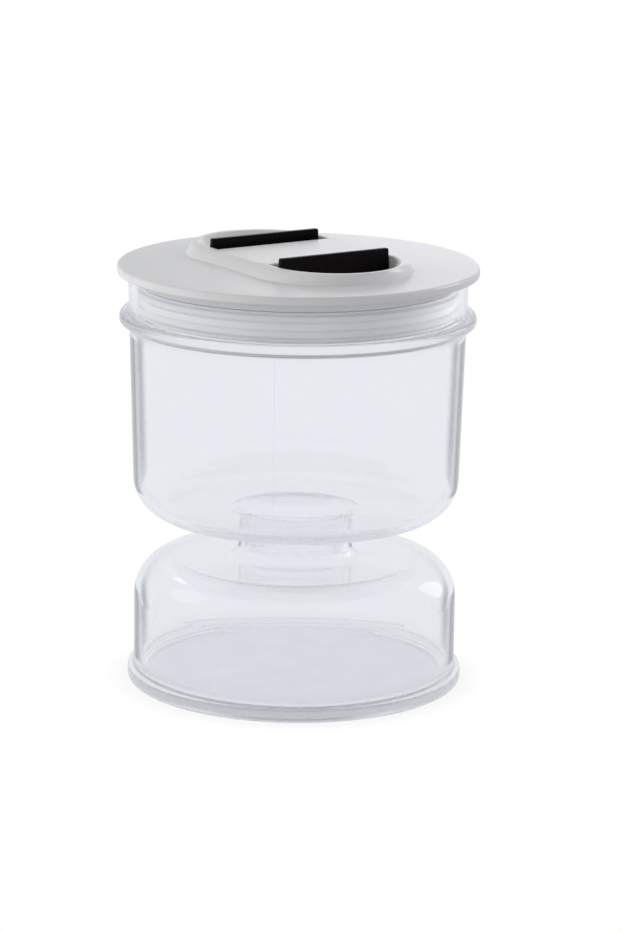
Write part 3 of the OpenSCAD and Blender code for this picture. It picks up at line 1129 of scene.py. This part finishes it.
def floor_paper():
    """White paper that reads as white where it is seen and keeps a faint shadow."""
    material, tree, shader = new_material("floor_paper")
    shader.inputs["Base Color"].default_value = (0.9, 0.9, 0.9, 1)
    shader.inputs["Roughness"].default_value = 0.9
    shader.inputs["Specular IOR Level"].default_value = 0
    glow = tree.nodes.new("ShaderNodeEmission")
    glow.inputs["Strength"].default_value = 1
    tree.links.new(paper_shade(tree), glow.inputs["Color"])
    coordinates = tree.nodes.new("ShaderNodeTexCoord")
    away = tree.nodes.new("ShaderNodeVectorMath")
    away.operation = "LENGTH"
    tree.links.new(coordinates.outputs["Object"], away.inputs[0])
    shadow_start = 0.97 * foot_r * MM
    shadow_end = 1.17 * foot_r * MM
    whiten = between(tree, away.outputs["Value"], shadow_start, shadow_end, 0.88, 1, "SMOOTHSTEP")
    share = combined(tree, "MULTIPLY", (seen_directly(tree), whiten))
    show_mix(tree, share, shader.outputs["BSDF"], glow.outputs["Emission"], "Material Output")
    return material


def make_floor():
    """White ground under the jar."""
    bm = bmesh.new()
    bmesh.ops.create_grid(bm, x_segments=1, y_segments=1, size=floor_half)
    mesh = to_mesh(bm, "floor")
    mesh.materials.append(floor_paper())
    new_object(mesh, "floor")


def make_studio():
    """Camera, background, floor and lamps."""
    make_camera()
    make_world()
    make_floor()
    middle = (0, 0, 80)
    at_lid = (0, 0, 140)
    at_plug = (0, 0, 120)
    at_neck = (0, 0, 60)
    at_shoulder = (0, 0, 35)
    warm = (1, 1, 0.97)
    plain = (1, 1, 1)
    cool = (0.97, 0.97, 1)
    soft_lamp("left_softbox", (-1000, -60, 250), middle, 900, 900, 5.2, warm, False)
    soft_lamp("left_window", (-950, 150, 750), middle, 600, 600, 0.8, warm, True)
    soft_lamp("right_window", (678, 302, 445), at_lid, 200, 300, 1.7, cool, True)
    soft_lamp("back_window", (240, 1340, 485), at_lid, 640, 730, 0.95, cool, True)
    soft_lamp("left_pane", (-504, 645, 977), at_shoulder, 320, 640, 0.95, cool, True)
    soft_lamp("right_pane", (899, 703, 406), at_shoulder, 420, 620, 0.8, cool, True)
    soft_lamp("neck_lamp", (0, 500, 1000), at_neck, 400, 400, 0.9, plain, True)
    soft_lamp("right_softbox", (900, 620, 110), at_plug, 500, 500, 15, plain, False)
    soft_lamp("front_softbox", (200, -1500, 500), middle, 1200, 700, 2.2, plain, False)


make_studio()
make_jar(clear_plastic())
make_strainer(strainer_plastic())
lid_white = white_plastic()
make_lid(lid_white)
make_cover(lid_white)
make_gasket(gasket_silicone())
tab_black = black_plastic()
wire = spring_steel()
for end, side in (("near", 1), ("far", -1)):
    make_tab("tab_" + end, "pinch_tab_" + end, "tab_" + end, side, tab_black)
    for hand, row in (("left", -spring_y), ("right", spring_y)):
        place = end + "_" + hand
        make_spring("coil_" + place, "spring_" + place, side, row * side, wire)

# Lamps that light one piece only: windows for the lid's satin, panes for the jar's gloss,
# a lamp for the strainer and a softbox for the gasket
for receiver, lamps in (
    ("white_lid", ("back_window", "right_window")),
    ("clear_jar", ("left_pane", "right_pane")),
    ("neck_strainer", ("neck_lamp",)),
    ("lid_gasket", ("right_softbox",)),
):
    lit = bpy.data.collections.new("lit_" + receiver)
    lit.objects.link(bpy.data.objects[receiver])
    for lamp in lamps:
        bpy.data.objects[lamp].light_linking.receiver_collection = lit

scene = bpy.context.scene
scene.view_settings.view_transform = "Standard"
# Light crosses many walls of the clear jar before it leaves
bounces = 200
scene.cycles.max_bounces = bounces
scene.cycles.transmission_bounces = bounces
scene.cycles.glossy_bounces = bounces
